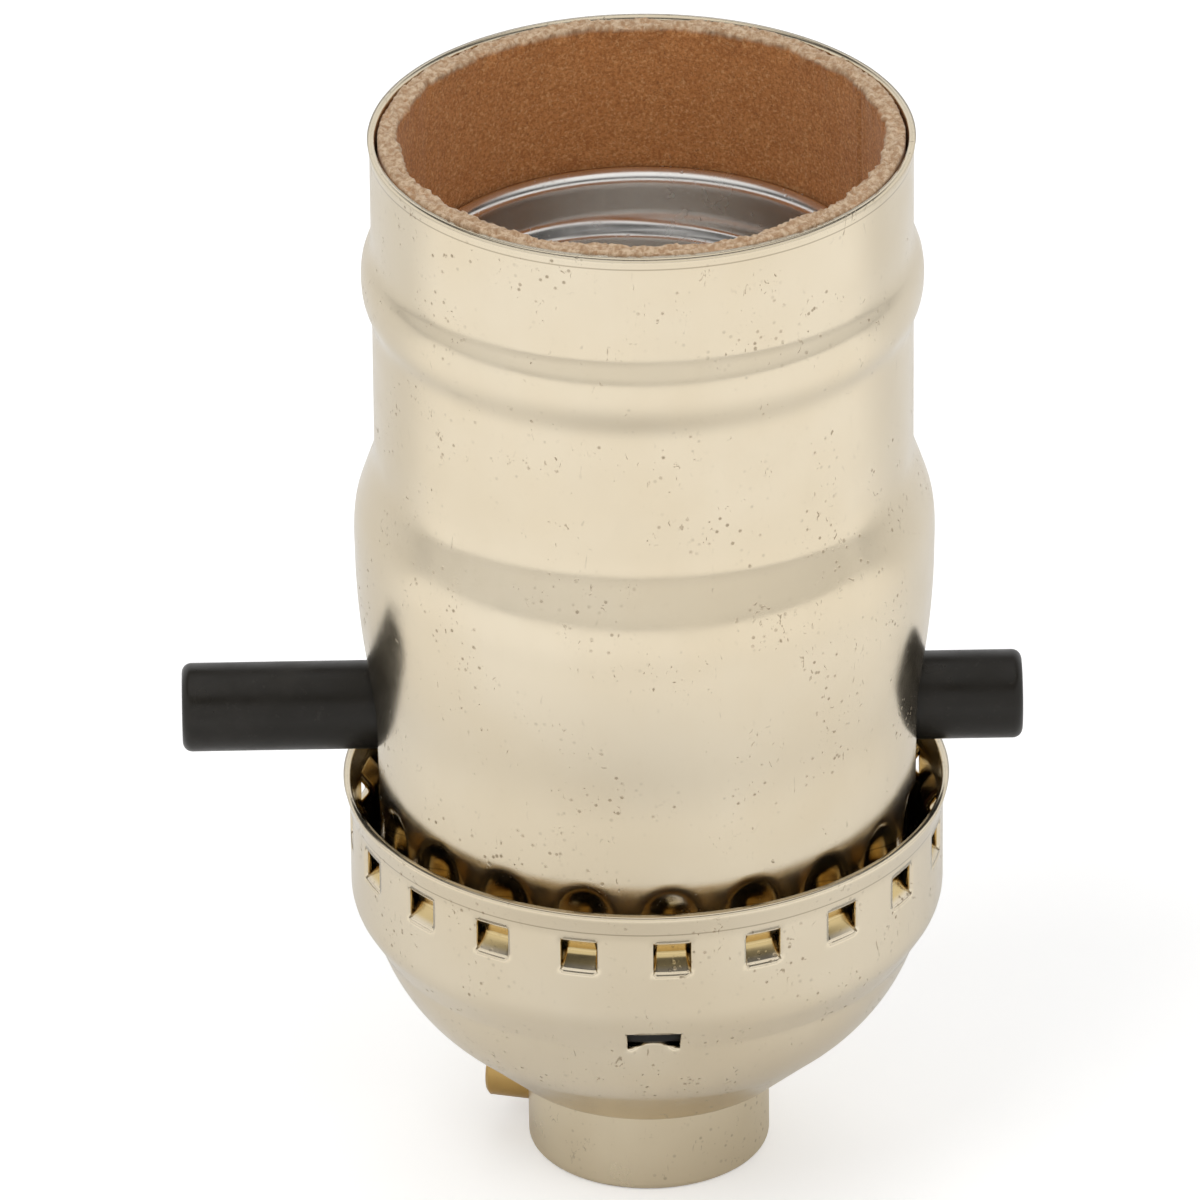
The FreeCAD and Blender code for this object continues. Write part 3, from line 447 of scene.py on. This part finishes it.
SHELL_LINE = [
    (SHELL_R + 0.25, FOOT_Z),
    (SHELL_R + 0.31, 22.0),
    (SHELL_R + 0.37, 26.9),
    (SHELL_R + 0.43, 31.0, -22.0),
    (SHELL_R + 0.7, 34.6, 49.7),
    (SHELL_R + 1.3, 42.3, 14.0),
    (SHELL_R + 1.17, 45.3),
    (SHELL_R + 0.23, 48.0, -1.5),
    (SHELL_R, 48.8),
    (SHELL_R, 58.4, 3.45),
    (SHELL_R + 0.64, 60.4),
    (SHELL_R + 0.64, 61.2, 2.58),
    (SHELL_R, 62.9),
    (SHELL_R, 69.3),
    (SHELL_R + 0.12, RIM_Z),
]


def smooth_line(points, passes):
    """Rounds the corners of a traced line a little, as pressing leaves them."""
    for _ in range(passes):
        points[1:-1] = points[1:-1] * 0.5 + (points[:-2] + points[2:]) * 0.25
    return points


def fine_line(corners, step, passes=0):
    """The traced line set out again at nearly even steps."""
    rough = trace(corners, 0.05, 0.05)
    along = np.concatenate([[0], np.cumsum(np.hypot(*np.diff(rough, axis=0).T))])
    marks = np.linspace(0, along[-1], round(along[-1] / step) + 1)
    line = np.stack([np.interp(marks, along, rough[:, 0]), np.interp(marks, along, rough[:, 1])], 1)
    return smooth_line(line, passes)


def make_shell():
    line = fine_line(SHELL_LINE, 0.42, 2)
    r, z, t = spun(line, even(PITCH_COUNT * 20, PITCH_START))
    turn = (t - PITCH_START) % PITCH
    across = np.minimum(turn, PITCH - turn) * r
    over = FLUTE_TOP - FLUTE_HALF
    inside = FLUTE_HALF - np.where(z < over, across, np.hypot(across, z - over))
    r = r - FLUTE_DEPTH * soften((inside + 0.3) / 2.1)
    r = r + 0.012 * wave(t, z * 0.2, 3, 0.4)
    r, z, t, cell = clear_slots(r, z, t, lambda height: np.interp(height, line[:, 1], line[:, 0]))
    faces = grid_faces(len(line), t.shape[1], cell)
    piece = mesh_of("brass_shell", round_grid(r, z, t), faces, shell_brass)
    thicken(piece, SHEET)
    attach(piece, "shell")
    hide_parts("outer_shell")


make_shell()


# ---- cap ------------------------------------------------------------------------------------

CAP_LINE = [
    (6.3, 5.8),
    (8.2, 5.8, 2.0),
    (9.3, 6.22),
    (12.9, 9.5, 12.73),
    (16.95, 15.6),
    (16.98, SEAT_LOW),
    (18.0, SEAT_HIGH),
    (18.15, 17.55, 2.6),
    (BELT_R, 18.7),
    (BELT_R, LANCE_Z - LANCE_HALF),
    (BELT_R, LANCE_Z + LANCE_HALF),
    (BELT_R, 24.3),
    (BELT_R + 0.38, LIP_Z),
]


def lance_angles():
    """Columns that fall on both edges of every lance."""
    half = LANCE_WIDTH / 2 / BELT_R
    lance = np.linspace(-half, half, LANCE_CELLS + 1)[:-1]
    belt = np.linspace(half, PITCH - half, BELT_CELLS + 1)[:-1]
    one = np.concatenate([lance, belt])
    return np.concatenate([one + PITCH_START + PITCH * k for k in range(PITCH_COUNT)])


def make_cap():
    line = trace(CAP_LINE, 0.45, 0.4)
    r, z, t = spun(line, lance_angles())
    x = r * np.cos(t)

    # The seat's slot: its side columns go to the slot's edges.
    near = 0.01
    in_slot = (z > SEAT_LOW - near) & (z < SEAT_HIGH + near) & (np.abs(x) < SEAT_HALF)
    x_new = np.where(in_slot & (np.abs(x) > 0.6 * SEAT_HALF), np.sign(x) * SEAT_HALF, x)
    t = np.where(in_slot, np.where(np.sin(t) < 0, -1, 1) * np.arccos(x_new / r), t)

    # The lip under the slot is pressed in, more and wider as it climbs.
    climb = np.clip((z - SEAT_FOOT) / (SEAT_LOW - SEAT_FOOT), 0, 1)
    half = 0.5 + (SEAT_HALF - 0.5) * climb
    bow = (0.1 + 0.6 * climb) * np.clip(1 - (x / half) ** 2, 0, 1)
    r = np.where((z > SEAT_FOOT) & (z < SEAT_LOW + near), r - bow, r)
    r = r + 0.008 * wave(t, z * 0.3, 5, 0.4)

    # The cells of slots and lances are left out.
    row_z = middle_of(z)
    column = np.arange(t.shape[1])[None, :]
    in_lance = (column % PITCH_CELLS < LANCE_CELLS) & (np.abs(row_z - LANCE_Z) < LANCE_HALF)
    mid_x = (middle_of(x) + middle_of(np.roll(x, -1, 1))) / 2
    in_seat = (row_z > SEAT_LOW) & (row_z < SEAT_HIGH) & (np.abs(mid_x) < SEAT_HALF)
    faces = grid_faces(len(line), t.shape[1], ~(in_lance | in_seat))
    co = round_grid(r, z, t)

    # Each lance is a strip of its own, sunk in a rounded V.
    rows = np.linspace(-1, 1, LANCE_ROWS)
    crook = np.sqrt(rows ** 2 + 0.03)
    sink = LANCE_DEPTH * (crook[0] - crook) / (crook[0] - crook[LANCE_ROWS // 2])
    strip_faces = grid_faces(LANCE_ROWS, LANCE_CELLS + 1, closed=False)
    for k in range(PITCH_COUNT):
        first = k * PITCH_CELLS
        depth = sink * (1 + 0.05 * math.sin(2.3 * k))
        strip_line = np.stack([BELT_R - depth, LANCE_Z + LANCE_HALF * rows], 1)
        strip = round_grid(*spun(strip_line, lance_angles()[first:first + LANCE_CELLS + 1]))
        faces = np.concatenate([faces, strip_faces + len(co)])
        co = np.concatenate([co, strip])
    piece = mesh_of("brass_cap", co, faces, shell_brass)
    thicken(piece, SHEET)
    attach(piece, "root")
    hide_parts("cap")


make_cap()


# ---- insulating sleeve ----------------------------------------------------------------------


def make_sleeve():
    """Thick paper tube, its top edge torn and its layers parting a little."""
    wall = SLEEVE_OUT - SLEEVE_IN
    above_slot = 35.0
    corners = [(SLEEVE_OUT, height) for height in (SLEEVE_LOW, above_slot, SLEEVE_TOP - 0.5)]
    outside = trace(corners, 1, 0.7)
    steps = 9
    top = np.array([(SLEEVE_OUT - wall * k / steps, SLEEVE_TOP - 0.25) for k in range(steps + 1)])
    top[0, 1] -= 0.12
    top[-1, 1] -= 0.12
    inside = outside[::-1] - [wall, 0]
    line = np.concatenate([outside, top, inside])
    r, z, t = spun(line, even(480))
    edge = soften((z - (SLEEVE_TOP - 1.6)) / 1.2)
    part = np.clip((SLEEVE_OUT - r) / wall, 0, 1)
    z = z + edge * (0.16 * wave(t, part * 9, 11, 3.0) + 0.10 * wave(t, part * 31, 12, 9.0))
    z = z + np.where(edge > 0.9, rng.uniform(-0.06, 0.06, z.shape), 0)
    r = r + part * (0.08 * wave(t, z * 0.15, 13, 0.5) + edge * 0.22 * wave(t, z * 3, 14, 5.0))
    r = r + part * edge * rng.uniform(-0.05, 0.05, r.shape)
    lap = np.angle(np.exp(1j * (t - math.radians(24.0) - 0.004 * np.sin(z * 0.6))))
    ridge = 0.16 * soften(1 - np.abs(lap - 0.012) / 0.012)
    crack = 0.14 * soften(1 - np.abs(lap) / 0.008)
    r = r - part * ridge + part * crack
    z = np.minimum(z, SLEEVE_TOP)
    r, z, t, cell = clear_slots(r, z, t, lambda height: np.where(part > 0.5, SLEEVE_IN, SLEEVE_OUT))
    faces = grid_faces(len(line), t.shape[1], cell)
    piece = mesh_of("paper_sleeve", round_grid(r, z, t), faces, paper)
    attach(piece, "shell")
    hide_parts("insulating_sleeve")


make_sleeve()


# ---- screw shell ----------------------------------------------------------------------------


def make_screw_shell():
    """Thin drawn cup with its rolled thread and a flared rim."""
    neck = THREAD_ROOT - THREAD_WALL
    bend = 1.55
    line = fine_line(
        [
            (4.6, BODY_TOP + THREAD_WALL),
            (THREAD_CREST - bend, BODY_TOP + THREAD_WALL, bend),
            (THREAD_CREST, BODY_TOP + 1.9),
            (THREAD_CREST, THREAD_HIGH - 0.8),
            (neck, THREAD_HIGH),
            (neck, SCREW_RIM - 0.85, -0.7),
            (neck + 0.6, SCREW_RIM - 0.15),
            (SCREW_RIM_R - 0.08, SCREW_RIM - 0.05),
        ],
        0.22,
        2,
    )
    r, z, t = spun(line, even(360))
    phase = (z - THREAD_LOW) / THREAD_PITCH - t / (2 * math.pi)
    away = np.abs(phase - np.round(phase)) * THREAD_PITCH
    run_out, top = 1.6, THREAD_HIGH + 0.3
    ends = soften((z - THREAD_LOW + 0.8) / run_out) * soften((top - z) / run_out)
    r = r + THREAD_DEPTH * soften((1.45 - away) / 1.1) * ends * (z < top)
    faces = grid_faces(len(line), t.shape[1])
    piece = mesh_of("screw_cup", round_grid(r, z, t), faces[:, ::-1], bright_metal)
    thicken(piece, THREAD_WALL * 0.9)
    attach(piece, "root")
    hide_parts("screw_shell")


make_screw_shell()


# ---- push bar -------------------------------------------------------------------------------


def make_bar():
    """Moulded bar with eased ends and a faint crown on both."""
    low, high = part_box("push_bar")
    left, right = low.x * 1000, high.x * 1000
    centre = (low.z + high.z) * 500
    profile = [
        (0.0, left + 0.02),
        (BAR_R - BAR_EDGE, left, BAR_EDGE),
        (BAR_R, left + BAR_EDGE),
        (BAR_R, right - BAR_EDGE, BAR_EDGE),
        (BAR_R - BAR_EDGE, right),
        (0.0, right - 0.02),
    ]
    line = trace(profile, 0.12, 1.2)
    line[0, 0] = line[-1, 0] = 0.001
    r, x, t = spun(line, even(96))
    r = r * (1 + 0.002 * np.cos(2 * t))
    co = np.stack([x, r * np.cos(t), centre + r * np.sin(t)], -1).reshape(-1, 3)
    piece = mesh_of("switch_bar", co, grid_faces(*t.shape)[:, ::-1], black_resin)
    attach(piece, "bar")
    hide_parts("push_bar")


make_bar()


# ---- finishes of the pieces kept from the CAD model -----------------------------------------

CAD_FINISH = {
    "hub": hub_brass,
    "set_screw": screw_brass,
    "base_plate": black_resin,
    "switch_body": brown_resin,
    "assembly_rivets": contact_brass,
    "center_washer": fibre_board,
    "center_contact": contact_brass,
    "center_rivet": contact_brass,
    "lamp_leaf": contact_brass,
    "line_leaf": contact_brass,
    "detent_leaf": spring_metal,
    "line_terminal": contact_brass,
    "neutral_terminal": bright_metal,
    "line_screw": screw_brass,
    "neutral_screw": bright_metal,
    "contact_collar": contact_brass,
}
for word, finish in CAD_FINISH.items():
    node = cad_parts[word]
    for index in range(len(node.material_slots)):
        node.material_slots[index].material = finish


# ---- floor, light, camera -------------------------------------------------------------------


def make_floor():
    """Pale floor, lifted to white for the camera and aglow in front of the object for mirrors, with
    a painted shadow round the object where that glow fades out.
    """
    reach = 6.0
    corners = [(-reach, -reach, 0), (reach, -reach, 0), (reach, reach, 0), (-reach, reach, 0)]
    data = bpy.data.meshes.new("floor")
    data.from_pydata(corners, [], [(0, 1, 2, 3)])
    floor = bpy.data.objects.new("floor", data)
    bpy.context.scene.collection.objects.link(floor)
    made = Finish(
        "floor_white",
        Base_Color=(0.84, 0.84, 0.84, 1),
        Roughness=0.9,
        Specular_IOR_Level=0.0,
        Emission_Color=(1, 1, 1, 1),
    )
    # Painted shadow: in what mirrors see, the floor's glow is zero within 20 mm of the axis and
    # grows out to 120 mm.
    away = made.span(made.radius(), 0.02, 0.12, 0.0, 0.24)
    front = made.span(made.axes()["Y"], 0.0, 0.06, 1.0, 0.1)
    mirror_glow_with_painted_shadow = made.maths("MULTIPLY", made.seen_share(), made.maths("MULTIPLY", away, front))
    direct = made.maths("MULTIPLY", made.rays()["Is Camera Ray"], 0.33)
    made.link(made.maths("MAXIMUM", mirror_glow_with_painted_shadow, direct), made.shader.inputs["Emission Strength"])
    data.materials.append(made.material)


# What a mirror sees of the studio: height from straight down (0) to straight up (1), and grey.
STUDIO = [
    (0.0, 0.55),
    (0.48, 0.68),
    (0.62, 0.93),
    (0.77, 0.9),
    (0.82, 0.05),
    (0.88, 0.05),
    (0.94, 0.85),
    (1.0, 1.0),
]


def make_world():
    """Even grey light on the object, the studio in reflections, and white behind the floor."""
    world = bpy.data.worlds.new("studio")
    bpy.context.scene.world = world
    world.use_nodes = True
    tree = world.node_tree
    tree.nodes.clear()
    made = Nodes(tree, "Generated")
    ramp = tree.nodes.new("ShaderNodeValToRGB")
    stops = ramp.color_ramp.elements
    while len(stops) < len(STUDIO):
        stops.new(0.5)
    for stop, (where, level) in zip(stops, STUDIO):
        stop.position = where
        stop.color = (level, level, level, 1)
    height = made.maths("MULTIPLY", made.maths("ADD", made.axes()["Z"], 1), 0.5)
    made.link(height, ramp.inputs[0])
    studio = made.background(ramp.outputs[0])
    light = made.mix_shaders(made.seen_share(), made.background(0.55), studio)
    whole = made.mix_shaders(made.rays()["Is Camera Ray"], light, made.background(1.0))
    made.link(whole, tree.nodes.new("ShaderNodeOutputWorld").inputs["Surface"])


def make_lamp(name, place, size, power, aim=(0, 0, 0.035)):
    data = bpy.data.lights.new(name, "AREA")
    data.shape = "DISK"
    data.size = size
    data.energy = power
    lamp = bpy.data.objects.new(name, data)
    bpy.context.scene.collection.objects.link(lamp)
    lamp.location = place
    lamp.visible_glossy = False
    lamp.rotation_euler = (Vector(aim) - Vector(place)).to_track_quat("-Z", "Y").to_euler()


def make_camera():
    """The photograph's view: from the front, looking down, through a long lens."""
    distance = 0.95
    rise, turn, roll = math.radians(28.4), math.radians(-1.1), math.radians(0.45)
    data = bpy.data.cameras.new("camera")
    data.sensor_width = 36
    data.lens = 461.8
    data.shift_x = -0.0375
    data.clip_start, data.clip_end = 0.05, 20
    camera = bpy.data.objects.new("camera", data)
    bpy.context.scene.collection.objects.link(camera)
    aim = Vector((0, 0, 0.0379))
    level, up = math.cos(rise), math.sin(rise)
    back = Vector((math.sin(turn) * level, -math.cos(turn) * level, up))
    camera.location = aim + back * distance
    upright = (-back).to_track_quat("-Z", "Y").to_matrix().to_4x4()
    camera.rotation_euler = (upright @ Matrix.Rotation(-roll, 4, "Z")).to_euler()
    bpy.context.scene.camera = camera


make_floor()
make_world()
make_lamp("key", (-0.6, -0.5, 1.1), 0.9, 5.0)
make_lamp("fill", (0.8, -0.6, 0.7), 0.9, 3)
make_lamp("back", (0.1, 0.9, 0.9), 0.9, 3)
make_camera()
bpy.context.scene.view_settings.view_transform = "Standard"
